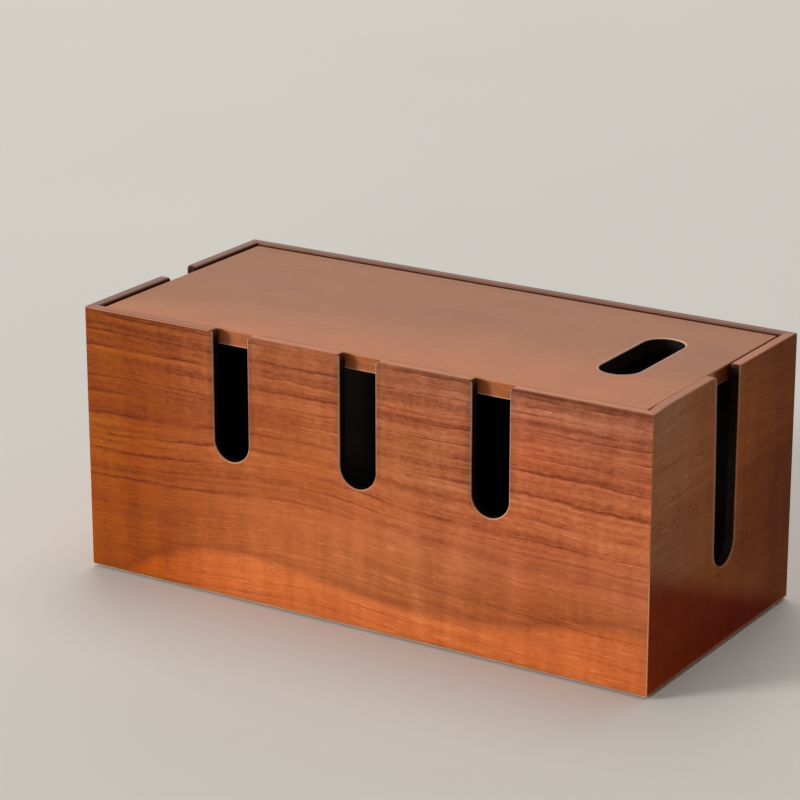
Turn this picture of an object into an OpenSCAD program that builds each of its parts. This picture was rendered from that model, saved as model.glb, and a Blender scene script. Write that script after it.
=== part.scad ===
// Cable management box: a low wooden box with four mitred walls, a bottom panel
// let into a rabbet, a lid that drops in between the walls and lifts out by a
// finger hole, corner posts that carry the lid, and four anti-slip pads.
// Origin: middle of the footprint, on the surface that the pads stand on.
// The long wall with the cable slots faces -Y, and +Z is up. Millimetres.

/* [Box] */
// Outside length of the box, left to right
box_l = 320; // [240:1:450]
// Outside width of the box, front to back
box_w = 148.5; // [120:0.5:220]
// Height of the walls, from their lower edge to the rim
wall_h = 137.5; // [115:0.5:200]
// Thickness of the wall boards
wall_t = 5.5; // [4.5:0.5:9]
// Radius of the eased edges of the walls
wall_edge_r = 0.8; // [0.3:0.1:1.5]

/* [Cable slots] */
// Number of slots in the front wall
front_slots = 3; // [1:1:4]
// Width of a slot in the front wall
front_slot_w = 20.4; // [10:0.2:30]
// Depth of a slot in the front wall, from the rim to its round end
front_slot_depth = 66; // [30:0.5:100]
// Distance from one front slot to the next
front_slot_pitch = 73.5; // [45:0.5:80]
// How far the row of front slots sits right of the middle
front_slot_shift = 1.7; // [-10:0.1:10]
// Width of the slot in each end wall
end_slot_w = 21.4; // [10:0.2:30]
// Depth of the slot in each end wall, from the rim to its round end
end_slot_depth = 97; // [30:0.5:105]
// How far the end slots sit behind the middle
end_slot_shift = 1.7; // [-10:0.1:10]
// Bevel round each slot, on both faces of its wall
slot_bevel = 0.6; // [0.2:0.1:1]
// Radius of the two corners where a slot meets the rim
slot_mouth_r = 2; // [0.5:0.1:4]

/* [Lid] */
// Thickness of the lid board
lid_t = 8; // [5:0.5:12]
// How far the top of the lid lies below the rim
lid_drop = 0.9; // [0:0.1:5]
// Gap between the lid and each wall
lid_gap = 1.9; // [0.5:0.1:2.5]
// Radius of the eased edges of the lid
lid_edge_r = 0.6; // [0.3:0.1:2]
// Width of the finger hole
finger_hole_w = 21.2; // [18:0.2:30]
// Length of the finger hole, along the width of the box
finger_hole_l = 63.5; // [45:0.5:75]
// Distance from the right end of the box to the middle of the finger hole
finger_hole_inset = 47.2; // [30:0.1:100]
// How far the finger hole sits behind the middle
finger_hole_shift = 3.4; // [-10:0.1:10]
// Bevel round the finger hole, on both faces of the lid
finger_hole_bevel = 0.8; // [0.2:0.1:1.5]

/* [Bottom panel] */
// Thickness of the bottom panel
bottom_t = 5; // [3:0.5:9]
// How deep the rabbet for the bottom panel is cut into the walls
rabbet_depth = 2.5; // [1.5:0.1:3.5]
// Glue gap between the bottom panel and the rabbet
bottom_fit = 0.2; // [0:0.1:0.5]

/* [Corner posts] */
// Width of a corner post along each wall
post_leg = 16; // [10:0.5:24]
// Flat on each thin edge of a corner post
post_flat = 2.5; // [1:0.5:5]

/* [Anti-slip pads] */
// Diameter of a pad
pad_d = 12; // [8:0.5:20]
// Thickness of a pad
pad_t = 1.2; // [0.8:0.1:4]
// Distance from the outside of the walls to the middle of a pad
pad_inset = 17; // [15:0.5:40]
// Bevel round the lower edge of a pad
pad_bevel = 0.3; // [0.1:0.1:0.5]

/* [Hidden] */
$fn = 64;
overcut = 1;
rim_z = pad_t + wall_h;
floor_z = pad_t + bottom_t;
lid_z = rim_z - lid_drop - lid_t;
inside_l = box_l - 2 * wall_t;
inside_w = box_w - 2 * wall_t;
lid_l = inside_l - 2 * lid_gap;
lid_w = inside_w - 2 * lid_gap;
panel_margin = wall_t - rabbet_depth + bottom_fit;
finger_hole_x = box_l / 2 - finger_hole_inset;

// What comes off a square corner at the origin when it is rounded to radius r.
module corner_waste(r) {
    difference() {
        translate([-overcut, -overcut]) square(r + overcut);
        translate([r, r]) circle(r);
        translate([r, -2 * overcut]) square([2 * r, r + 2 * overcut]);
        translate([-2 * overcut, r]) square([r + 2 * overcut, 2 * r]);
    }
}

// Rectangle w by h, its lower left corner at the origin, all corners rounded to r.
module eased_rectangle(w, h, r) {
    difference() {
        square([w, h]);
        corner_waste(r);
        translate([w, 0]) mirror([1, 0]) corner_waste(r);
        translate([0, h]) mirror([0, 1]) corner_waste(r);
        translate([w, h]) rotate(180) corner_waste(r);
    }
}

// Section through a wall board: outer face at 0, rim at the top, and the rabbet
// for the bottom panel at the lower inner edge.
module wall_section() {
    difference() {
        square([wall_t, wall_h]);
        corner_waste(wall_edge_r);
        translate([0, wall_h]) mirror([0, 1]) corner_waste(wall_edge_r);
        translate([wall_t, wall_h]) rotate(180) corner_waste(wall_edge_r);
        translate([wall_t - rabbet_depth, -overcut]) square([rabbet_depth + overcut, bottom_t + overcut]);
    }
}

// Outline of a wall board from above, mitred at both ends, outer face at y = 0.
module wall_plan(length) {
    difference() {
        polygon([[-length / 2, 0], [length / 2, 0],
                 [length / 2 - wall_t, wall_t], [wall_t - length / 2, wall_t]]);
        translate([-length / 2, 0]) corner_waste(wall_edge_r);
        translate([length / 2, 0]) mirror([1, 0]) corner_waste(wall_edge_r);
    }
}

// Mitred board of one wall, centred on x = 0 with its outer face at y = 0.
module wall_board(length) {
    intersection() {
        linear_extrude(wall_h) wall_plan(length);
        translate([-length / 2, 0, 0]) rotate([90, 0, 90]) linear_extrude(length) wall_section();
    }
}

// Outline of a slot on the face of a wall, the rim at y = 0: straight sides down
// to a round end, with the two corners at the rim rounded.
module slot_outline(w, depth) {
    translate([0, w / 2 - depth]) circle(d = w);
    translate([-w / 2, w / 2 - depth]) square([w, depth - w / 2 + overcut]);
    for (side = [0, 1])
        mirror([side, 0]) translate([w / 2, 0]) mirror([0, 1]) corner_waste(slot_mouth_r);
}

// Bevel round a slot on a face at y = 0, for a board that lies behind that face.
module slot_face_bevel(w, depth) {
    flare = slot_bevel + overcut;
    translate([0, -overcut, w / 2 - depth]) {
        rotate([-90, 0, 0]) cylinder(r1 = w / 2 + flare, r2 = w / 2, h = flare);
        linear_extrude(depth - w / 2 + overcut)
            polygon([[-w / 2 - flare, 0], [w / 2 + flare, 0], [w / 2, flare], [-w / 2, flare]]);
    }
}

// What a slot takes out of a wall board, with a bevel on both faces.
module slot_cut(w, depth) {
    translate([0, 0, wall_h]) {
        translate([0, wall_t + overcut, 0]) rotate([90, 0, 0])
            linear_extrude(wall_t + 2 * overcut) slot_outline(w, depth);
        slot_face_bevel(w, depth);
        translate([0, wall_t, 0]) mirror([0, 1, 0]) slot_face_bevel(w, depth);
    }
}

// Wall of an end, standing on the pads' level: side is -1 for left, 1 for right.
// The slot sits behind the middle of the box by end_slot_shift.
module end_wall(side) {
    translate([side * box_l / 2, 0, pad_t]) rotate([0, 0, side * 90]) difference() {
        wall_board(box_w);
        translate([side * end_slot_shift, 0, 0]) slot_cut(end_slot_w, end_slot_depth);
    }
}

module front_wall() {
    color("#a2562f")
        translate([0, -box_w / 2, pad_t]) difference() {
            wall_board(box_l);
            for (i = [0 : front_slots - 1])
                translate([front_slot_shift + (i - (front_slots - 1) / 2) * front_slot_pitch, 0, 0])
                    slot_cut(front_slot_w, front_slot_depth);
        }
}

module back_wall() {
    color("#9b532f") translate([0, box_w / 2, pad_t]) rotate([0, 0, 180]) wall_board(box_l);
}

module left_wall() {
    color("#93502f") end_wall(-1);
}

module right_wall() {
    color("#93502f") end_wall(1);
}

// Bottom panel, glued up into the rabbet of the four walls, flush with their lower edges.
module bottom_panel() {
    color("#a8744c")
        translate([panel_margin - box_l / 2, panel_margin - box_w / 2, pad_t])
            cube([box_l - 2 * panel_margin, box_w - 2 * panel_margin, bottom_t]);
}

// Lid board with every edge eased, before the finger hole is cut.
module lid_board() {
    intersection() {
        linear_extrude(lid_t) eased_rectangle(lid_l, lid_w, lid_edge_r);
        translate([0, lid_w, 0]) rotate([90, 0, 0])
            linear_extrude(lid_w) eased_rectangle(lid_l, lid_t, lid_edge_r);
        rotate([90, 0, 90]) linear_extrude(lid_l) eased_rectangle(lid_w, lid_t, lid_edge_r);
    }
}

// Bevel round the finger hole on a face at z = 0, for a board that lies below it.
module finger_hole_face_bevel() {
    half = (finger_hole_l - finger_hole_w) / 2;
    flare = finger_hole_bevel + overcut;
    r = finger_hole_w / 2;
    translate([0, 0, overcut - flare]) {
        for (end = [-1, 1])
            translate([0, end * half, 0]) cylinder(r1 = r, r2 = r + flare, h = flare);
        translate([0, half, 0]) rotate([90, 0, 0]) linear_extrude(2 * half)
            polygon([[-r, 0], [r, 0], [r + flare, flare], [-r - flare, flare]]);
    }
}

// What the finger hole takes out of the lid: a long hole with round ends,
// bevelled on both faces, its middle at x = 0, y = 0.
module finger_hole_cut() {
    half = (finger_hole_l - finger_hole_w) / 2;
    translate([0, 0, -overcut]) {
        for (end = [-1, 1])
            translate([0, end * half, 0]) cylinder(d = finger_hole_w, h = lid_t + 2 * overcut);
        translate([-finger_hole_w / 2, -half, 0]) cube([finger_hole_w, 2 * half, lid_t + 2 * overcut]);
    }
    translate([0, 0, lid_t]) finger_hole_face_bevel();
    mirror([0, 0, 1]) finger_hole_face_bevel();
}

module lid_panel() {
    color("#a8694a") difference() {
        translate([-lid_l / 2, -lid_w / 2, lid_z]) lid_board();
        translate([finger_hole_x, finger_hole_shift, lid_z]) finger_hole_cut();
    }
}

// Three-sided post glued into a corner of the box, from the bottom panel up to
// the underside of the lid. side_x and side_y say which corner.
module corner_post(side_x, side_y) {
    color("#8a5634")
        translate([side_x * inside_l / 2, side_y * inside_w / 2, floor_z]) linear_extrude(lid_z - floor_z)
            polygon([[0, 0], [-side_x * post_leg, 0], [-side_x * post_leg, -side_y * post_flat],
                     [-side_x * post_flat, -side_y * post_leg], [0, -side_y * post_leg]]);
}

// Round pad stuck under a corner of the bottom panel, its lower edge bevelled.
module anti_slip_pad(side_x, side_y) {
    color("#2a2725")
        translate([side_x * (box_l / 2 - pad_inset), side_y * (box_w / 2 - pad_inset), 0])
            rotate_extrude()
                polygon([[0, 0], [pad_d / 2 - pad_bevel, 0], [pad_d / 2, pad_bevel],
                         [pad_d / 2, pad_t], [0, pad_t]]);
}

front_wall();
back_wall();
left_wall();
right_wall();
bottom_panel();
lid_panel();
corner_post(-1, -1);  // front_left_post
corner_post(1, -1);  // front_right_post
corner_post(-1, 1);  // back_left_post
corner_post(1, 1);  // back_right_post
anti_slip_pad(-1, -1);  // front_left_pad
anti_slip_pad(1, -1);  // front_right_pad
anti_slip_pad(-1, 1);  // back_left_pad
anti_slip_pad(1, 1);  // back_right_pad
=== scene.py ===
import math

import bmesh
import bpy
from mathutils import Matrix, Vector


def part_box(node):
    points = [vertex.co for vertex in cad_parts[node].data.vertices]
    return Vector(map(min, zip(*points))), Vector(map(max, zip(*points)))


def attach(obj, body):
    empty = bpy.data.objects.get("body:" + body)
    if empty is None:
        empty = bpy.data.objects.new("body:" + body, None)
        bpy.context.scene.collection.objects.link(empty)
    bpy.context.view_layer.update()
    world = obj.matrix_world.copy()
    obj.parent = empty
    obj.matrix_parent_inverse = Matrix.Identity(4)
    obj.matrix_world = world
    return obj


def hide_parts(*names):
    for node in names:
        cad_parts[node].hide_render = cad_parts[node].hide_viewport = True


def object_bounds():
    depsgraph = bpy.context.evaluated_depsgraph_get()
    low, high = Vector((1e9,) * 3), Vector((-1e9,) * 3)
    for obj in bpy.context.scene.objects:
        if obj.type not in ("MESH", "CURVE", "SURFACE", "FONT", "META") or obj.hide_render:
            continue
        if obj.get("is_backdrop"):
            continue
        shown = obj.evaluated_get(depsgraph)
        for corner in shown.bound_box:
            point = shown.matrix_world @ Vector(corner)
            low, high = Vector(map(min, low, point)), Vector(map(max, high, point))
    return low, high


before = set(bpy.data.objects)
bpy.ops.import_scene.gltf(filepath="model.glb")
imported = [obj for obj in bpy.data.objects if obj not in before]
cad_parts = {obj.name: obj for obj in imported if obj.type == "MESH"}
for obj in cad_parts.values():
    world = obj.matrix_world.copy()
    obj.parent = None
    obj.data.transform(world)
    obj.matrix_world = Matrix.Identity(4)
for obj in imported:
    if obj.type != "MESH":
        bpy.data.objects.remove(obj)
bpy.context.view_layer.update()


# ---- Camera -------------------------------------------------------------------------------
# The photograph's viewpoint: in front of the box and to its right, a little above it, with a
# long lens. The angles, the distance and the lens come from the box's own edges in the photo.
view_azimuth = math.radians(32.23)
view_elevation = math.radians(18.35)
view_distance = 1.576
view_middle = Vector((-0.021, 0, 0.0931))
sensor_mm, focal_mm = 36, 142.07
sight_range = 60
towards_camera = Vector((math.sin(view_azimuth) * math.cos(view_elevation),
                         -math.cos(view_azimuth) * math.cos(view_elevation),
                         math.sin(view_elevation)))
camera_right = Vector((0, 0, 1)).cross(towards_camera).normalized()
camera_up = towards_camera.cross(camera_right)
lens = bpy.data.cameras.new("photo_camera")
lens.sensor_width = sensor_mm
lens.lens = focal_mm
lens.clip_end = sight_range
camera = bpy.data.objects.new("photo_camera", lens)
camera.matrix_world = (Matrix.Translation(view_middle + towards_camera * view_distance)
                       @ Matrix((camera_right, camera_up, towards_camera)).transposed().to_4x4())
bpy.context.scene.collection.objects.link(camera)
bpy.context.scene.camera = camera


# ---- The ring of four walls ---------------------------------------------------------------
# Four thin walnut boards, mitred and glued into a ring, with the slots routed through from the
# rim, a rabbet for the bottom panel and all edges sanded round. They are oiled outside and nearly
# black inside as painted shade, and the front half of the right one has sprung a little towards the
# lid.
outer_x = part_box("right_wall")[1].x
outer_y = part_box("back_wall")[1].y
foot_z, rim_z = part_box("left_wall")[0].z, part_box("left_wall")[1].z
wall_t = outer_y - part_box("back_wall")[0].y
panel_low, panel_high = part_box("bottom_panel")
panel_fit = 0.0002
wall_ease = 0.0008
slot_mouth_r = 0.002
front_slot_w, front_slot_depth = 0.0204, 0.066
front_slot_pitch, front_slot_shift = 0.0735, 0.0017
front_slot_middles = [front_slot_shift + step * front_slot_pitch for step in (-1, 0, 1)]
end_slot_w, end_slot_depth, end_slot_middle = 0.0214, 0.097, 0.0017
round_sides = 64
overcut = 0.004
touching = 1e-5
sharp, round_within = math.radians(50), math.radians(40)

# How far the right wall has sprung in at the rim, from which height up, over which stretch
# behind its front corner and how sharply it bends. Its mesh gets these rows and columns for it.
sprung_by, sprung_from, sprung_within, sprung_bend = 0.0012, 0.05, 0.018, 1.5
sprung_rows, sprung_columns = 10, 8

# The painted shade inside starts this far behind the outer faces and this far above the foot. A face's
# normal points up by more than the first share where the face is flat, and by more than the
# second where it only leans. From its left end the front's edge is worn up to the last place.
painted_shade_behind, painted_shade_above = 0.0011, 0.0005
faces_up, leans_up = 0.9, 0.1
worn_end_x = -0.1


def take(piece):
    """Selects this piece and nothing else."""
    bpy.ops.object.select_all(action="DESELECT")
    piece.select_set(True)
    bpy.context.view_layer.objects.active = piece


def block(name, low, high):
    """A square block between two corners."""
    low, high = Vector(low), Vector(high)
    bpy.ops.object.select_all(action="DESELECT")
    bpy.ops.mesh.primitive_cube_add(size=1, location=(low + high) / 2, scale=high - low)
    made = bpy.context.active_object
    made.name = name
    bpy.ops.object.transform_apply(location=True, rotation=True, scale=True)
    return made


def round_bar(name, middle, radius, length, turn=(0, 0, 0)):
    """A round bar about its middle, upright unless it is turned."""
    bpy.ops.object.select_all(action="DESELECT")
    bpy.ops.mesh.primitive_cylinder_add(vertices=round_sides, radius=radius, depth=length,
                                        location=middle, rotation=turn)
    made = bpy.context.active_object
    made.name = name
    bpy.ops.object.transform_apply(location=True, rotation=True, scale=True)
    return made


def cut_away(piece, tool):
    """Takes the tool's shape out of the piece and throws the tool away."""
    take(piece)
    cut = piece.modifiers.new("cut", "BOOLEAN")
    cut.operation = "DIFFERENCE"
    cut.solver = "EXACT"
    cut.object = tool
    bpy.ops.object.modifier_apply(modifier=cut.name)
    bpy.data.objects.remove(tool)


def pick(piece, kind, wanted):
    """Enters edit mode with only the wanted vertices, edges or faces selected."""
    take(piece)
    bpy.ops.object.mode_set(mode="EDIT")
    bpy.ops.mesh.select_mode(type=kind)
    bpy.ops.mesh.select_all(action="DESELECT")
    shape = bmesh.from_edit_mesh(piece.data)
    for part in {"VERT": shape.verts, "EDGE": shape.edges, "FACE": shape.faces}[kind]:
        part.select_set(wanted(part))
    shape.select_flush_mode()
    bmesh.update_edit_mesh(piece.data)


def round_off(piece, kind, wanted, radius, steps, clamp=False):
    """Rounds the wanted edges, or the edges of the wanted faces."""
    pick(piece, kind, wanted)
    bpy.ops.mesh.bevel(offset=radius, offset_type="OFFSET", segments=steps, affect="EDGES",
                       clamp_overlap=clamp)
    bpy.ops.object.mode_set(mode="OBJECT")


def long_hole_tool(name, middle, turn, width, reach, stretch):
    """A round bar drawn out sideways, which cuts a hole or a slot with round ends."""
    half_side = math.pi / round_sides
    turns = {"up": (0, 0, half_side),
             "through front": (math.pi / 2, -half_side, 0),
             "through end": (math.pi / 2, -half_side, math.pi / 2)}
    tool = round_bar(name, middle, width / 2, reach, turns[turn])
    pull = Vector(stretch)
    pick(tool, "VERT", lambda vert: (vert.co - Vector(middle)).dot(pull) > 0)
    bpy.ops.transform.translate(value=pull)
    bpy.ops.object.mode_set(mode="OBJECT")
    return tool


def slot_tool(along, width, depth, side):
    """The tool for one cable slot, from the rim down to its round end."""
    low_end = rim_z - depth + width / 2
    middle = {"front": (along, -outer_y + wall_t / 2, low_end),
              "left": (-outer_x + wall_t / 2, along, low_end),
              "right": (outer_x - wall_t / 2, along, low_end)}[side]
    way = "through front" if side == "front" else "through end"
    return long_hole_tool("slot", middle, way, width, wall_t + 2 * overcut, (0, 0, depth + width))


ring = block("wall_ring", (-outer_x, -outer_y, foot_z), (outer_x, outer_y, rim_z))
cut_away(ring, block("hollow", (wall_t - outer_x, wall_t - outer_y, foot_z - overcut),
                     (outer_x - wall_t, outer_y - wall_t, rim_z + overcut)))
cut_away(ring, block("rabbet", (panel_low.x - panel_fit, panel_low.y - panel_fit, foot_z - overcut),
                     (panel_high.x + panel_fit, panel_high.y + panel_fit, panel_high.z)))
for slot_middle in front_slot_middles:
    cut_away(ring, slot_tool(slot_middle, front_slot_w, front_slot_depth, "front"))
for side in ("left", "right"):
    cut_away(ring, slot_tool(end_slot_middle, end_slot_w, end_slot_depth, side))


def slot_mouth(edge):
    """True for the short edges across the rim where a slot comes out of it."""
    a, b = edge.verts
    at_corner = abs(abs(a.co.x) - outer_x) < touching and abs(abs(a.co.y) - outer_y) < touching
    on_rim = all(abs(vert.co.z - rim_z) < touching for vert in (a, b))
    return on_rim and abs(edge.calc_length() - wall_t) < touching and not at_corner


def sanded(edge):
    """True for every sharp outer edge of the ring, but not inside the rabbet."""
    in_rabbet = all(abs(vert.co.x) < outer_x - wall_ease and abs(vert.co.y) < outer_y - wall_ease
                    and vert.co.z < panel_high.z + touching for vert in edge.verts)
    return (len(edge.link_faces) == 2 and edge.is_convex and not in_rabbet
            and edge.calc_face_angle() > sharp)


round_off(ring, "EDGE", slot_mouth, slot_mouth_r, 6)
round_off(ring, "EDGE", sanded, wall_ease, 3, clamp=True)


def depth_in_wall(point):
    """How deep a point lies behind the outer faces of the box."""
    return min(outer_x - abs(point.x), outer_y - abs(point.y))


def inside(face):
    """True for the inner faces of the walls, up into the inner edge, and the cut faces of the slots."""
    middle = face.calc_center_median()
    off_rim = middle.z < rim_z - slot_mouth_r or face.normal.z < faces_up
    return depth_in_wall(middle) > painted_shade_behind and middle.z > foot_z + painted_shade_above and off_rim


def rim_top(face):
    """True for the top of the rim, its inner eased edge, and the worn edge at the front's left end."""
    middle = face.calc_center_median()
    worn_end = middle.x < worn_end_x and middle.y < wall_ease - outer_y
    eased = depth_in_wall(middle) > wall_t - wall_ease or worn_end
    return middle.z > rim_z - wall_ease and face.normal.z > (leans_up if eased else faces_up)


def paint(piece, wanted, finish):
    """Gives the wanted faces one more finish of their own."""
    piece.data.materials.append(finish)
    pick(piece, "FACE", wanted)
    piece.active_material_index = len(piece.data.materials) - 1
    bpy.ops.object.material_slot_assign()
    bpy.ops.object.mode_set(mode="OBJECT")


def copy_of(piece, name):
    """A copy with its own mesh."""
    made = piece.copy()
    made.data = piece.data.copy()
    made.name = made.data.name = name
    bpy.context.scene.collection.objects.link(made)
    return made


def saw(piece, point, normal, fill=True):
    """Saws the piece along a plane and drops the side that the normal points to."""
    take(piece)
    bpy.ops.object.mode_set(mode="EDIT")
    bpy.ops.mesh.select_all(action="SELECT")
    bpy.ops.mesh.bisect(plane_co=point, plane_no=normal, use_fill=fill, clear_outer=True)
    bpy.ops.object.mode_set(mode="OBJECT")


def smooth_edges(piece):
    """Shades the eased edges round and keeps the flats flat."""
    take(piece)
    bpy.ops.object.shade_smooth_by_angle(angle=round_within)
    flats = piece.modifiers.new("flats", "WEIGHTED_NORMAL")
    flats.keep_sharp = True
    bpy.ops.object.modifier_apply(modifier=flats.name)


def spring_in(wall):
    """Leans an end wall's front half towards the lid, most of all at the rim beside its slot."""
    sprung_height = rim_z - sprung_from
    lines = [((0, 0, sprung_from + step * sprung_height / sprung_rows), (0, 0, 1))
             for step in range(sprung_rows)]
    lines += [((0, wall_t - outer_y + step * sprung_within / sprung_columns, 0), (0, 1, 0))
              for step in range(sprung_columns + 1)]
    take(wall)
    bpy.ops.object.mode_set(mode="EDIT")
    for point, normal in lines:
        bpy.ops.mesh.select_all(action="SELECT")
        bpy.ops.mesh.bisect(plane_co=point, plane_no=normal)
    bpy.ops.object.mode_set(mode="OBJECT")
    share = wall.vertex_groups.new(name="sprung")
    for vert in wall.data.vertices:
        up = (vert.co.z - sprung_from) / sprung_height
        back = min((vert.co.y + outer_y - wall_t) / sprung_within, 1)
        if up > 0 and back > 0 and vert.co.y < end_slot_middle:
            share.add([vert.index], up ** sprung_bend * back * (2 - back), "REPLACE")
    lean = wall.modifiers.new("lean", "DISPLACE")
    lean.direction = "X"
    lean.mid_level = 0
    lean.strength = -sprung_by
    lean.vertex_group = share.name
    bpy.ops.object.modifier_apply(modifier=lean.name)


walls = {}
for name, out in (("front_wall", Vector((0, -1, 0))), ("back_wall", Vector((0, 1, 0))),
                  ("left_wall", Vector((-1, 0, 0))), ("right_wall", Vector((1, 0, 0)))):
    wall = copy_of(ring, name + "_board")
    across = Vector((abs(out.y), abs(out.x), 0))
    for end in (-1, 1):
        corner = Vector(((out.x + end * across.x) * outer_x, (out.y + end * across.y) * outer_y, 0))
        saw(wall, corner, across * end - out)
    saw(wall, (0, 0, 0), -out, fill=False)
    walls[name] = wall
bpy.data.objects.remove(ring)


class Finish:
    """A finish, built up node by node from the piece's own coordinates in metres."""

    def __init__(self, name):
        self.material = bpy.data.materials.new(name)
        self.material.use_nodes = True
        self.tree = self.material.node_tree
        self.shader = self.tree.nodes["Principled BSDF"]
        self.place = self.node("TexCoord").outputs["Object"]
        self.x, self.y, self.z = self.node("SeparateXYZ", self.place).outputs

    def feed(self, socket, value):
        """Links a socket to another one, or sets its value."""
        if isinstance(value, bpy.types.NodeSocket):
            self.tree.links.new(value, socket)
        else:
            socket.default_value = value

    def node(self, kind, *inputs, **settings):
        """Adds a node, sets it, and feeds its inputs in order."""
        made = self.tree.nodes.new("ShaderNode" + kind)
        for key, value in settings.items():
            setattr(made, key, value)
        for number, value in enumerate(inputs):
            self.feed(made.inputs[number], value)
        return made

    def reckon(self, operation, *values):
        """Adds, multiplies or compares plain values."""
        return self.node("Math", *values, operation=operation).outputs[0]

    def sum(self, first, *others):
        """Adds up any number of values."""
        total = first
        for value in others:
            total = self.reckon("ADD", total, value)
        return total

    def times(self, a, b):
        """Multiplies two values."""
        return self.reckon("MULTIPLY", a, b)

    def off(self, value, middle):
        """How far the value is from the middle, to either side."""
        return self.reckon("ABSOLUTE", self.sum(value, -middle))

    def ease(self, value, low, high, to_low=0.0, to_high=1.0):
        """Goes smoothly from to_low to to_high as the value goes from low to high."""
        eased = self.node("MapRange", value, low, high, to_low, to_high,
                          interpolation_type="SMOOTHSTEP")
        return eased.outputs[0]

    def ramp(self, value, stops, blend="LINEAR"):
        """A colour ramp through the stops, each a place from 0 to 1 and a colour."""
        ramp = self.node("ValToRGB", value)
        ramp.color_ramp.interpolation = blend
        while len(ramp.color_ramp.elements) < len(stops):
            ramp.color_ramp.elements.new(0.5)
        for element, (at, colour) in zip(ramp.color_ramp.elements, stops):
            element.position = at
            element.color = (*colour, 1)
        return ramp.outputs[0]

    def line(self, value, points):
        """A smooth line through a few points, each a value and a height between 0 and 1."""
        low, high = points[0][0], points[-1][0]
        unit = self.node("MapRange", value, low, high).outputs[0]
        stops = [((at - low) / (high - low), (height,) * 3) for at, height in points]
        return self.ramp(unit, stops, "B_SPLINE")

    def cloud(self, vector, fineness, seed, detail=2.0, roughness=0.5):
        """Cloudy noise around 0, finer in the directions with a larger fineness."""
        stretched = self.node("VectorMath", vector, fineness, (seed, seed * 1.7, seed * 0.6),
                              operation="MULTIPLY_ADD").outputs[0]
        noise = self.node("TexNoise")
        self.feed(noise.inputs["Vector"], stretched)
        noise.inputs["Scale"].default_value = 1
        noise.inputs["Detail"].default_value = detail
        noise.inputs["Roughness"].default_value = roughness
        return self.sum(noise.outputs[0], -0.5)

    def mix(self, share, a, b, blend="MIX"):
        """Mixes two colours."""
        mixed = self.node("Mix", data_type="RGBA", blend_type=blend)
        for number, value in ((0, share), (6, a), (7, b)):
            self.feed(mixed.inputs[number], value)
        return mixed.outputs[2]

    def shade(self, colour, tint, share=1.0):
        """Multiplies the colour by the tint's red, green and blue, as far as the share goes."""
        return self.mix(share, colour, (*tint, 1), "MULTIPLY")

    def course(self, value, points):
        """Goes smoothly from one point to the next, each a value and what it turns into."""
        if len(points) > 2:
            return self.line(value, points)
        (low, to_low), (high, to_high) = points
        return self.ease(value, low, high, to_low, to_high)

    def zones(self, colour, table):
        """Shades a board's colour in each zone: its share along the board, across it, and the tint."""
        for *shares, tint in table:
            share = 1.0
            for value, points in zip((self.along, self.across), shares):
                if points:
                    share = self.times(share, self.course(value, points))
            colour = self.shade(colour, tint, share)
        return colour

    def eased_edge(self):
        """1 on the rounded edges and 0 on the flats, from the way the surface faces."""
        most = 0.0
        for way in self.node("SeparateXYZ", self.node("TexCoord").outputs["Normal"]).outputs:
            most = self.reckon("MAXIMUM", most, self.reckon("ABSOLUTE", way))
        return self.ease(most, 0.9, 0.99, 1.0, 0.0)

    def surface(self, colour, roughness, relief, strength, depth):
        """Sets the colour, the roughness and a fine relief, and hands over the material."""
        self.feed(self.shader.inputs["Base Color"], colour)
        self.feed(self.shader.inputs["Roughness"], roughness)
        bump = self.node("Bump", strength, depth)
        self.feed(bump.inputs["Height"], relief)
        self.feed(self.shader.inputs["Normal"], bump.outputs["Normal"])
        return self.material


# Walnut from the heart of the log, with the grain along each board. It has this many growth lines
# to a metre, and each turns slowly paler and ends in a thin dark line.
walnut_tones = [(0.0, (0.085, 0.013, 0.002)), (0.28, (0.22, 0.04, 0.007)), (0.5, (0.4, 0.09, 0.018)),
                (0.7, (0.52, 0.14, 0.034)), (1.0, (0.7, 0.27, 0.1))]
growth_lines = 130
growth_profile = [(0.0, 0.38), (0.3, 0.5), (0.72, 0.54), (0.84, 0.64), (0.93, 0.17), (1.0, 0.24)]

# The layers of noise in the figure: how fine each is along, across and through the board, in
# waves per metre, what is added to the board's seed, its strength, and its own detail and
# roughness. The first three move the growth lines up and down, so their strength is in metres.
figure = {"drift": ((4, 10, 10), 0, 0.009),                # long bends in the growth lines
          "ripple": ((26, 60, 60), 1, 0.0026),             # shorter bends
          "tremble": ((160, 260, 260), 10, 0.0013),        # ragged edges
          "crowding": ((1.5, 20, 20), 0, 2.5),             # lines closer together or wider apart
          "presence": ((23, 70, 70), 2, 1.0),              # lines strong or nearly gone
          "streaks": ((4, 180, 180), 4, 0.75, 3.0),        # thin dark and pale streaks
          "broad": ((1.3, 24, 24), 3, 0.45),               # broad bands of colour
          "fine": ((12, 900, 900), 5, 0.6, 3.0, 0.65),     # fibres
          "flecks": ((270, 400, 60), 11, 0.42, 3.0, 0.6),  # small dark and pale flecks
          "shimmer": ((95, 18, 18), 6, 0.24),              # pale bands across the grain
          "ticks": ((420, 130, 60), 8, 0.09),              # short marks across the grain
          "strokes": ((70, 800, 800), 9, 1.0),             # short pale strokes along the grain
          "pores": ((150, 2600, 2600), 7, 1.0)}            # thin dark pores


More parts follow.
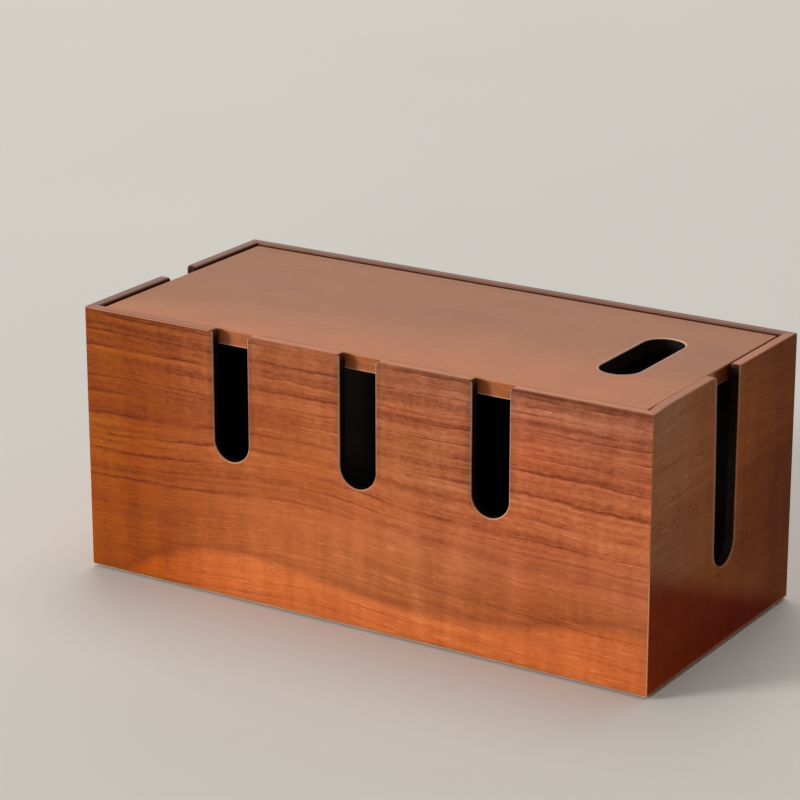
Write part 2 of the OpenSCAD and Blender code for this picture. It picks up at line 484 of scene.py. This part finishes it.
def walnut(name, along, across, through, seed, arch=None, calm=None):
    """A walnut finish with its figure, ready for what one board has of its own."""
    wood = Finish(name)
    axes = {"x": wood.x, "y": wood.y, "z": wood.z}
    wood.along, wood.across = axes[along], axes[across]

    def layer(where, what):
        """One layer of the figure, laid straight on the board or along the bent grain."""
        fineness, step, strength, *rest = figure[what]
        return wood.times(wood.cloud(where, fineness, seed + step, *rest), strength)

    board = wood.node("CombineXYZ", wood.along, wood.across, axes[through]).outputs[0]
    wood.height = wood.sum(wood.across, layer(board, "drift"), layer(board, "ripple"),
                           layer(board, "tremble"))
    if arch is not None:
        wood.height = wood.sum(wood.height, arch(wood))
    grain = wood.node("CombineXYZ", wood.along, wood.height, axes[through]).outputs[0]
    rows = wood.sum(wood.times(wood.height, growth_lines), layer(grain, "crowding"))
    stops = [(at, (grey,) * 3) for at, grey in growth_profile]
    growth = wood.sum(wood.ramp(wood.reckon("FRACT", rows), stops), -0.5)
    growth = wood.times(growth, wood.ease(layer(grain, "presence"), -0.14, 0.14, 0.05, 0.8))
    wood.fine = layer(grain, "fine")
    lively = wood.sum(growth, layer(grain, "streaks"), wood.times(wood.fine, 0.5),
                      layer(board, "flecks"))
    if calm is not None:
        lively = wood.times(lively, calm(wood))
    strokes = wood.times(wood.ease(layer(grain, "strokes"), 0.08, 0.22), 0.13)
    wood.pores = wood.ease(layer(grain, "pores"), 0.1, 0.2)
    wood.tone = wood.sum(0.5, lively, layer(grain, "broad"), wood.times(wood.fine, 0.4),
                         layer(board, "shimmer"), layer(board, "ticks"), strokes,
                         wood.times(wood.pores, -0.15))
    return wood


# The bare wood that shows where an edge is rubbed: in general, along the foot, and down the
# outer corners. On the rim's and the lid's edges the general one is also a painted highlight.
# The corners are rubbed up to the first height and hardly above the second.
worn_and_highlit_edge, foot_edge, corner_edge = (0.6, 0.36, 0.24, 1), (0.95, 0.72, 0.5, 1), (0.97, 0.46, 0.22, 1)
corner_rubbed_below, corner_whole_above = 0.05, 0.075
foot_wear = 0.8


def oil(wood, colour, roughness=0.45, wear=0.8, shine=0.22, rim_share=0.25):
    """Oils a board: its eased edges are rubbed paler, by the wear, and at the rim by a share of it."""
    patchy = wood.ease(wood.cloud(wood.place, (35, 35, 35), 6.6), -0.1, 0.1, 0.6, 1.0)
    on_edge = wood.ease(wood.z, rim_z - 0.0011, rim_z - 0.0006, wear, wear * rim_share)
    at_foot = wood.ease(wood.z, foot_z + 0.0006, foot_z + 0.0012, 1.0, 0.0)
    amount = wood.sum(on_edge, wood.times(at_foot, foot_wear - wear))
    rubbed = wood.times(wood.times(wood.eased_edge(), patchy), amount)
    at_corner = 1.0
    for value, reach in ((wood.x, outer_x), (wood.y, outer_y)):
        near = wood.ease(wood.reckon("ABSOLUTE", value), reach - 0.0012, reach - 0.0006)
        at_corner = wood.times(near, at_corner)
    corner_wear = wood.ease(wood.z, corner_rubbed_below, corner_whole_above, 0.9, 0.12)
    corner_rubbed = wood.times(wood.eased_edge(), corner_wear)
    change = wood.sum(corner_rubbed, wood.times(rubbed, -1.0))
    rubbed = wood.sum(rubbed, wood.times(at_corner, change))
    bare = wood.mix(at_corner, wood.mix(at_foot, worn_and_highlit_edge, foot_edge), corner_edge)
    wood.shader.inputs["Specular IOR Level"].default_value = shine
    return wood.surface(wood.mix(rubbed, colour, bare),
                        wood.sum(roughness, wood.times(wood.fine, 0.3), wood.times(wood.pores, 0.2)),
                        wood.sum(wood.times(wood.fine, 0.5), wood.times(wood.pores, -0.6)),
                        0.25, 0.00006)


def front_arch(wood):
    """Below the slots the grain of the front board rises in one long low arch."""
    low_part = wood.ease(wood.across, 0.064, 0.105, 1.0, 0.0)
    away = wood.line(wood.along, [(-0.16, 0.7), (-0.11, 0.6), (-0.07, 0.25), (-0.024, 0.0),
                                  (0.01, 0.3), (0.045, 0.62), (0.09, 0.7), (0.16, 1.0)])
    return wood.times(wood.times(low_part, away), 0.012)


def front_calm(wood):
    """The lower half of the front board is plain, the upper half full of growth lines."""
    quieter = wood.line(wood.along, [(-0.16, 1.0), (-0.08, 1.0), (-0.035, 0.66), (0.02, 0.95),
                                     (0.16, 1.0)])
    return wood.times(wood.ease(wood.height, 0.058, 0.078, 0.22, 1.0), quieter)


# The long dark lines of the front board: height in the grain, reach above and below it, where
# the line starts to fade and where it has faded, and how dark it is.
front_lines = [(0.0792, 0.0013, -0.15, -0.06, 0.2),
               (0.0602, 0.0016, -0.16, 0.06, 0.22),
               (0.0475, 0.005, -0.13, 0.02, 0.05)]

# The pale sapwood along its foot reaches up to this height, times the share at each place.
sap_height = 0.032
sap_top = [(-0.14, 0.0), (-0.118, 0.5), (-0.085, 0.82), (-0.035, 0.8), (0.022, 0.45), (0.094, 0.66),
           (0.125, 0.95), (0.16, 1.05)]

# The zones where its colour drifts: how strong each is along the board, how strong up the board,
# and its tint. An empty list means all the way.
front_zones = [
    # The left end is browner.
    ([(-0.135, 1.0), (-0.06, 0.0)], [], (0.74, 0.57, 0.06)),
    # At the height of the slots it is dusky on the left and duller between the two right slots.
    ([(-0.04, 1.0), (0.0, 0.0)], [(0.06, 0.0), (0.073, 0.4), (0.084, 1.0), (0.1, 0.9), (0.116, 0.0)],
     (0.78, 0.68, 0.63)),
    ([(0.0, 0.0), (0.02, 1.0), (0.06, 1.0), (0.085, 0.0)],
     [(0.066, 0.0), (0.08, 1.0), (0.106, 1.0), (0.118, 0.0)], (0.84, 0.91, 0.94)),
    # A patch to the right of the right slot is brighter, and one at the left end is paler.
    ([(0.074, 0.0), (0.086, 1.0), (0.106, 1.0), (0.118, 0.0)],
     [(0.088, 0.0), (0.1, 1.0), (0.126, 1.0), (0.136, 0.0)], (1.2, 1.13, 1.12)),
    ([(-0.15, 1.0), (-0.128, 0.0)], [(0.048, 0.0), (0.058, 1.0), (0.088, 1.0), (0.1, 0.0)],
     (1.1, 1.3, 1.15)),
    # Low in the middle the board glows, and to the right of that it is rosier.
    ([(-0.105, 0.0), (-0.06, 1.0), (0.01, 1.0), (0.06, 0.5), (0.105, 0.0)],
     [(0.012, 0.0), (0.028, 1.0), (0.045, 1.0), (0.062, 0.0)], (1.25, 1.4, 1.5)),
    ([(-0.05, 0.0), (-0.015, 0.9), (0.02, 1.0), (0.07, 1.0), (0.105, 0.4), (0.13, 0.6), (0.16, 1.0)],
     [(0.006, 0.1), (0.018, 0.7), (0.03, 1.0), (0.044, 0.9), (0.06, 0.4), (0.072, 0.0)],
     (1.04, 1.16, 1.46)),
    # The upper part is cooler, and paler just under the rim.
    ([], [(0.08, 0.0), (0.138, 0.9)], (0.84, 0.92, 1.25)),
    ([(-0.16, 0.0), (-0.09, 0.05), (-0.055, 0.5), (-0.012, 0.5), (0.025, 1.0), (0.16, 1.0)],
     [(0.112, 0.0), (0.133, 1.0)], (1.04, 1.28, 1.45)),
    # The right half is rosier above the sapwood, and the whole board is a little paler.
    ([(-0.05, 0.0), (0.09, 1.0)], [(0.03, 0.0), (0.055, 1.0)], (1.0, 1.02, 1.4)),
    ([], [], (1.045, 1.075, 1.2))]

# Painted shade along its foot, where it meets the floor, and the dark line under the rim's pale edge.
front_edge_zones = [
    ([], [(foot_z + 0.0008, 1.0), (foot_z + 0.003, 0.0)], (0.74, 0.95, 1.3)),
    ([(-0.16, 0.9), (-0.1, 0.8), (-0.06, 0.1), (-0.01, 0.1), (0.03, 0.9), (0.16, 1.0)],
     [(rim_z - 0.0022, 0.0), (rim_z - 0.0012, 1.0)], (0.6, 0.48, 0.38))]

front = walnut("front_walnut", "x", "z", "y", 3.1, front_arch, front_calm)
tone = front.tone
broken = front.ease(front.cloud(front.place, (50, 30, 90), 12.4), -0.14, 0.08, 0.35, 1.0)
for height, reach, fades_from, faded_at, darkness in front_lines:
    dark = front.ease(front.off(front.height, height), 0.0, reach, 1.0, 0.0)
    dark = front.times(dark, front.ease(front.along, fades_from, faded_at, 1.0, 0.15))
    tone = front.sum(tone, front.times(front.times(dark, broken), -darkness))
colour = front.ramp(tone, walnut_tones)
above_sap = front.sum(front.across, front.times(front.line(front.along, sap_top), -sap_height),
                      front.times(front.fine, 0.006))
colour = front.shade(colour, (1.5, 1.52, 1.45), front.ease(above_sap, -0.005, 0.002, 1.0, 0.0))
seam = front.times(front.ease(above_sap, 0.0, 0.0015), front.ease(above_sap, 0.0015, 0.006, 0.3, 0.0))
colour = front.shade(colour, (0.6, 0.5, 0.45), seam)
colour = front.zones(colour, front_zones)
round_end_z = rim_z - front_slot_depth
# Painted shade along both sides of each slot, darkest at its edges, fading out near its round end.
for slot_middle in front_slot_middles:
    beside_slot = front.ease(front.off(front.along, slot_middle), front_slot_w / 2 + 0.0012,
                             front_slot_w / 2 + 0.0048, 1.0, 0.0)
    up_slot = front.ease(front.across, round_end_z + 0.006, round_end_z + 0.014)
    colour = front.shade(colour, (0.74, 0.84, 0.95), front.times(beside_slot, up_slot))
colour = front.zones(colour, front_edge_zones)
finishes = {"front_wall": oil(front, colour, shine=0.12, rim_share=0.08)}

back = walnut("back_walnut", "x", "z", "y", 11.7)
finishes["back_wall"] = oil(back, back.ramp(back.tone, walnut_tones))


def plain_calm(wood):
    """The end boards, the rim and the lid are plain all over."""
    return 0.25


left = walnut("left_walnut", "y", "z", "x", 23.9, None, plain_calm)
finishes["left_wall"] = oil(left, left.ramp(left.tone, walnut_tones))

# The zones of the right board: greyer in front, darker behind, cooler near the rim. Under a line
# sloping down to the back it is dark red, a painted reflection and shade of a dark table. Over it
# the whole board is duller, its lowest part has painted light against the shade at the floor, and
# a pale line runs along its foot and beside the front side of its slot.
right_zones = [([(-0.06, 1.0), (-0.005, 0.0)], [], (1.12, 1.55, 2.6)),
               ([(-0.01, 0.0), (0.075, 1.0)], [], (0.62, 0.56, 0.5)),
               ([], [(0.116, 0.0), (0.136, 1.0)], (1.0, 1.15, 1.45))]
table_reflection_height, table_reflection_slope = 0.031, -0.42
# The second zone is painted light low on the board, against the shade where it meets the floor.
right_low_zones = [([], [], (0.775, 0.86, 0.9)),
                   ([], [(foot_z, 1.0), (0.012, 0.0)], (1.4, 1.7, 1.0))]
right_foot, right_slot_side = (0.4, 0.15, 0.065, 1), (0.41, 0.235, 0.18, 1)

right = walnut("right_walnut", "y", "z", "x", 31.3, None, plain_calm)
colour = right.zones(right.ramp(right.tone, walnut_tones), right_zones)
# Painted reflection and shade of a dark table: dark red under a line that slopes down to the back.
table_reflection_top = right.sum(table_reflection_height, right.times(right.along, table_reflection_slope))
above_table_reflection = right.sum(right.height, right.times(table_reflection_top, -1))
colour = right.shade(colour, (0.6, 0.16, 0.0), right.ease(above_table_reflection, -0.01, 0.007, 1.0, 0.0))
colour = right.zones(colour, right_low_zones)
foot_line = right.times(right.ease(right.across, foot_z + 0.0012, foot_z + 0.002, 1.0, 0.0),
                        right.ease(right.cloud(right.place, (10, 90, 10), 8.8), -0.15, 0.15, 0.4, 1.0))
colour = right.mix(foot_line, colour, right_foot)
slot_side = end_slot_middle - end_slot_w / 2
round_end_z = rim_z - end_slot_depth
beside_slot = right.line(right.along, [(slot_side - 0.004, 0.0), (slot_side - 0.0022, 0.5),
                                       (slot_side - 0.0008, 1.0), (slot_side, 1.0)])
up_slot = right.ease(right.across, round_end_z, round_end_z + end_slot_w / 2)
on_face = right.ease(right.along, slot_side + 0.001, slot_side + 0.002, 0.7, 0.0)
beside_slot = right.times(right.times(beside_slot, up_slot), on_face)
colour = right.mix(beside_slot, colour, right_slot_side)
finishes["right_wall"] = oil(right, colour, roughness=0.55, wear=0.4, shine=0.04)


def plain_walnut(name, along, across, through, seed, tones, drift=None):
    """The even, matt walnut of the rim and the lid, on which the figure hardly shows."""
    wood = walnut(name, along, across, through, seed, None, plain_calm)
    faint = wood.times(wood.sum(wood.tone, -0.5), 0.5)
    mottle = wood.times(wood.cloud(wood.place, (26, 40, 40), seed + 9, 3.0), 0.4)
    colour = wood.ramp(wood.sum(0.5, faint, mottle), tones)
    if drift is not None:
        colour = drift(wood, colour)
    # On the rim and the lid the small wear of the eased edges is a painted highlight as well as
    # rubbing.
    return oil(wood, colour, roughness=0.5, wear=0.12, shine=0.45)


plain_tones = [(0.0, (0.24, 0.055, 0.014)), (0.5, (0.41, 0.12, 0.038)), (1.0, (0.55, 0.19, 0.075))]
dull_tones = [(0.0, (0.1, 0.03, 0.012)), (0.5, (0.2, 0.06, 0.025)), (1.0, (0.3, 0.1, 0.045))]


def front_rim_drift(wood, colour):
    """The middle of the front rim has a painted highlight, but for its left third, which is browner."""
    rightwards = wood.ease(wood.x, -0.09, -0.045)
    # A painted highlight on the rim's top near its front edge.
    middle = wood.line(wood.y, [(-0.0743, 0.0), (-0.0734, 0.35), (-0.0722, 1.0), (-0.0706, 1.0),
                                (-0.0695, 0.3), (-0.0687, 0.0)])
    colour = wood.shade(colour, (1.4, 1.38, 1.3), wood.times(rightwards, middle))
    return wood.mix(rightwards, wood.shade(colour, (0.92, 0.93, 0.86)), colour)


rims = {"front_wall": plain_walnut("front_rim", "x", "y", "z", 53.4, plain_tones, front_rim_drift),
        "back_wall": plain_walnut("back_rim", "x", "y", "z", 57.1, dull_tones),
        "left_wall": plain_walnut("left_rim", "y", "x", "z", 61.8, dull_tones),
        "right_wall": plain_walnut("right_rim", "y", "x", "z", 67.3, plain_tones)}


def matt_wood(name, fineness, tones, roughness=0.6, brown_above=None):
    """A matt finish on bare wood, with the grain just showing through; in nearly black tones it is
    painted shade. Above a height it may be browner.
    """
    wood = Finish(name)
    lines = wood.cloud(wood.place, fineness, 2.3, 4.0, 0.6)
    blotch = wood.cloud(wood.place, (14, 14, 14), 5.1)
    colour = wood.ramp(wood.sum(0.5, wood.times(lines, 1.4), wood.times(blotch, 0.7)), tones)
    if brown_above is not None:
        off_slot = wood.ease(wood.off(wood.y, end_slot_middle), end_slot_w / 2, end_slot_w / 2 + 0.001)
        brown = wood.times(wood.ease(wood.z, brown_above, brown_above + 0.002), off_slot)
        colour = wood.mix(brown, colour, (0.07, 0.016, 0.006, 1))
    wood.shader.inputs["Specular IOR Level"].default_value = 0.12
    return wood.surface(colour, wood.sum(roughness, wood.times(lines, 0.3)), lines, 0.3, 0.00008)


# Nearly black tones: painted shade for the inside of the box, the slots' cut faces and the finger hole.
painted_shade_tones = [(0.2, (0.004, 0.002, 0.0015)), (0.8, (0.015, 0.007, 0.0045))]
wall_inside = matt_wood("wall_inside_painted_shade", (9, 9, 320), painted_shade_tones, brown_above=rim_z - 0.0045)
# Each board gets its walnut, a nearly black painted shade on its inner faces and slot cut faces, and
# its rim.
for name, wall in walls.items():
    wall.data.materials.append(finishes[name])
    paint(wall, inside, wall_inside)
    paint(wall, rim_top, rims[name])
    if name == "right_wall":
        spring_in(wall)
    smooth_edges(wall)
    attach(wall, "box")
    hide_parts(name)


# ---- Corner posts -------------------------------------------------------------------------
# Four three-sided wooden posts glued into the corners of the ring. The loose lid rests on their
# top ends. Each is sawn from a square strip and has its sharp edges taken off.
post_leg, post_flat = 0.016, 0.0025
post_ease = 0.0005
# The posts are nearly black: painted shade inside the closed box.
post_painted_shade = matt_wood("post_painted_shade", (320, 320, 9), painted_shade_tones)


def every(edge):
    """True for all edges of a piece."""
    return True


for name in ("front_left_post", "front_right_post", "back_left_post", "back_right_post"):
    low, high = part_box(name)
    post = block(name + "_strip", low, high)
    corner = Vector((low.x if low.x < 0 else high.x, low.y if low.y < 0 else high.y, low.z))
    inward = Vector((-math.copysign(1, corner.x), -math.copysign(1, corner.y), 0))
    saw(post, corner + inward * (post_leg + post_flat) / 2, inward)
    round_off(post, "EDGE", every, post_ease, 2)
    smooth_edges(post)
    post.data.materials.append(post_painted_shade)
    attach(post, "box")
    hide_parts(name)


# ---- Bottom panel -------------------------------------------------------------------------
# A thin board glued up into the rabbet, flush with the lower edges of the walls. Its upper side
# has the same nearly black painted shade as the inside, its underside is bare.
panel_ease = 0.0004
bare_tones = [(0.15, (0.16, 0.075, 0.035)), (0.5, (0.27, 0.14, 0.07)), (0.85, (0.36, 0.2, 0.11))]
panel = block("bottom_board", panel_low, panel_high)
round_off(panel, "EDGE", every, panel_ease, 2)
smooth_edges(panel)
panel.data.materials.append(matt_wood("panel_bare_wood", (7, 260, 260), bare_tones, roughness=0.7))
paint(panel, lambda face: face.normal.z > 0.5, matt_wood("panel_painted_shade", (9, 320, 320), painted_shade_tones))
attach(panel, "box")
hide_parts("bottom_panel")


# ---- Anti-slip pads -----------------------------------------------------------------------
# Four thin round pads of black rubber, stuck under the corners of the bottom panel. The lower
# edge is rounded and the sole is a little hollow inside a rim, as on die-cut pads.
pad_ease = 0.0003
sole_rim, sole_slope, sole_hollow = 0.0009, 0.0003, 0.0002
sole_area = 5e-5
rubber_tones = [(0.3, (0.014, 0.014, 0.015)), (0.75, (0.034, 0.033, 0.032))]
rubber = Finish("pad_rubber")
specks = rubber.cloud(rubber.place, (2600, 2600, 2600), 1.9)
dust = rubber.cloud(rubber.place, (160, 160, 160), 4.4)
rubber.surface(rubber.ramp(rubber.sum(0.5, specks, dust), rubber_tones),
               rubber.sum(0.8, rubber.times(dust, 0.4)), specks, 0.4, 0.00005)
for name in ("front_left_pad", "front_right_pad", "back_left_pad", "back_right_pad"):
    low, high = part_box(name)
    pad = round_bar(name + "_disc", (low + high) / 2, (high.x - low.x) / 2, high.z - low.z)
    round_off(pad, "FACE", lambda face: face.normal.z < -0.5, pad_ease, 3)
    pick(pad, "FACE", lambda face: face.normal.z < -0.99 and face.calc_area() > sole_area)
    bpy.ops.mesh.inset(thickness=sole_rim)
    bpy.ops.mesh.inset(thickness=sole_slope, depth=-sole_hollow)
    bpy.ops.object.mode_set(mode="OBJECT")
    smooth_edges(pad)
    pad.data.materials.append(rubber.material)
    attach(pad, "box")
    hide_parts(name)


# ---- Lid ----------------------------------------------------------------------------------
# One loose board that drops in between the walls and lies on the posts. The long finger hole
# near its right end is routed through, and all its edges are rounded by sanding. It is oiled
# like the rim, and nearly black underneath and inside the hole, a painted shade.
lid_low, lid_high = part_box("lid_panel")
lid_ease, hole_ease = 0.0006, 0.0005
hole_w, hole_l = 0.0212, 0.0635
hole_x, hole_y = 0.1128, 0.0034
hole_straight = hole_l - hole_w
lid = block("lid_board", lid_low, lid_high)
round_off(lid, "EDGE", every, lid_ease, 4)
cut_away(lid, long_hole_tool("hole", (hole_x, hole_y - hole_straight / 2, (lid_low.z + lid_high.z) / 2),
                             "up", hole_w, lid_high.z - lid_low.z + 2 * overcut, (0, hole_straight, 0)))


def at_hole(point, margin):
    """True for a point on the finger hole's side or inside it, as far as the margin."""
    return abs(point.x - hole_x) < hole_w / 2 + margin and abs(point.y - hole_y) < hole_l / 2 + margin


def hole_edge(edge):
    """True for the edges of the finger hole on both sides of the lid."""
    a, b = edge.verts
    level = abs(a.co.z - b.co.z) < touching
    return at_hole(a.co, 1e-4) and at_hole(b.co, 1e-4) and level and edge.calc_face_angle() > sharp


round_off(lid, "EDGE", hole_edge, hole_ease, 3)
smooth_edges(lid)


def lid_drift(wood, colour):
    """The board goes from browner at the back to rosier in front, and is rubbed pale round its hole."""
    bend = wood.line(wood.x, [(-0.15, 0.0), (-0.11, 0.38), (-0.06, 0.48), (0.01, 0.86), (0.05, 1.0),
                              (0.1, 0.86), (0.15, 0.71)])
    backwards = wood.ease(wood.sum(wood.y, 0.03, wood.times(bend, -0.042)), -0.058, 0.003)
    tint = wood.mix(backwards, (1.22, 1.15, 0.7, 1), (0.85, 0.82, 0.4, 1))
    colour = wood.mix(1.0, colour, tint, "MULTIPLY")
    past_straight = wood.reckon("MAXIMUM", wood.sum(wood.off(wood.y, hole_y), -hole_straight / 2), 0.0)
    beside = wood.node("CombineXYZ", wood.sum(wood.x, -hole_x), past_straight).outputs[0]
    reach = wood.node("VectorMath", beside, operation="LENGTH").outputs[1]
    rubbed = wood.ease(reach, hole_w / 2 + 0.0003, hole_w / 2 + 0.0012, 0.85, 0.0)
    return wood.mix(rubbed, colour, (0.66, 0.42, 0.31, 1))


# The sides of the lid have the walls' figure. The right side is redder where the slot shows it,
# with painted shade from its middle to the back. The lower edge is rubbed, less so in that shade.
shaded_from, shaded_to = -0.004, 0.003
side = walnut("lid_edge_walnut", "x", "z", "y", 71.9, None, plain_calm)
colour = side.shade(side.ramp(side.tone, walnut_tones), (0.9, 1.08, 1.45))
on_right = side.ease(side.x, lid_high.x - 0.0012, lid_high.x - 0.0006)
colour = side.shade(colour, (1.7, 1.4, 1.2), on_right)
# Painted shade on the lid's sides from the middle to the back.
colour = side.shade(colour, (0.22, 0.17, 0.14), side.ease(side.y, shaded_from, shaded_to))
low_edge = side.ease(side.z, lid_low.z + 0.0005, lid_low.z + 0.0009, 1.0, 0.0)
low_edge = side.times(low_edge, side.ease(side.y, shaded_from, shaded_to, 1.0, 0.2))
colour = side.mix(low_edge, colour, (0.6, 0.3, 0.17, 1))


def lid_side(face):
    """True for the four outer sides of the lid."""
    middle = face.calc_center_median()
    outside = abs(middle.x) > lid_high.x - lid_ease or abs(middle.y) > lid_high.y - lid_ease
    return outside and lid_low.z < middle.z < lid_high.z - lid_ease


def lid_inside(face):
    """True for the underside of the lid and the cut face of the finger hole."""
    middle = face.calc_center_median()
    in_hole = at_hole(middle, 5e-5) and middle.z < lid_high.z - hole_ease
    return middle.z < lid_low.z + 0.0002 or in_hole


lid.data.materials.append(plain_walnut("lid_walnut", "x", "y", "z", 47.2, plain_tones, lid_drift))
paint(lid, lid_side, oil(side, colour, roughness=0.5, wear=0.1))
# Painted shade: nearly black underneath the lid and inside its finger hole.
paint(lid, lid_inside, matt_wood("lid_inside_painted_shade", (9, 320, 320), painted_shade_tones))
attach(lid, "lid")
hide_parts("lid_panel")


# ---- Floor and light ----------------------------------------------------------------------
# A plain pale floor, one large soft light from the front left, a weak one from above, and a pale
# card behind the box that the lid mirrors faintly.
floor_size = 16
floor_tones = [(0.0, (0.7, 0.675, 0.635)), (1.0, (0.74, 0.715, 0.675))]
lights_aim = Vector((0, 0, 0.07))
room_light, room_brightness = (0.8, 0.79, 0.77, 1), 0.35
bpy.ops.object.select_all(action="DESELECT")
bpy.ops.mesh.primitive_plane_add(size=floor_size)
floor = bpy.context.active_object
floor.name = "floor"
floor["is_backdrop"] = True
paper = Finish("floor_paper")
grey = paper.cloud(paper.place, (3, 3, 3), 0.7)
paper.feed(paper.shader.inputs["Base Color"], paper.ramp(paper.sum(0.5, grey), floor_tones))
paper.shader.inputs["Roughness"].default_value = 0.9
floor.data.materials.append(paper.material)


def softbox(name, place, size, power, tint):
    """A square soft light that looks at the box."""
    light = bpy.data.lights.new(name, "AREA")
    light.size = size
    light.energy = power
    light.color = tint
    made = bpy.data.objects.new(name, light)
    made.location = place
    made.rotation_euler = (lights_aim - Vector(place)).to_track_quat("-Z", "Y").to_euler()
    made.visible_camera = False
    bpy.context.scene.collection.objects.link(made)


softbox("window_light", (-3.8, -4.35, 1.6), 1.7, 290, (1, 0.98, 0.95))
softbox("top_light", (-0.4, 1.2, 4.5), 3.0, 70, (1, 0.98, 0.95))
softbox("back_card", (-2.1, 3.4, 1.4), 3.2, 36, (1, 0.97, 0.92))
world = bpy.data.worlds.new("studio")
world.use_nodes = True
world.node_tree.nodes["Background"].inputs["Color"].default_value = room_light
world.node_tree.nodes["Background"].inputs["Strength"].default_value = room_brightness
bpy.context.scene.world = world
bpy.context.scene.view_settings.view_transform = "Standard"

low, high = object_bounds()
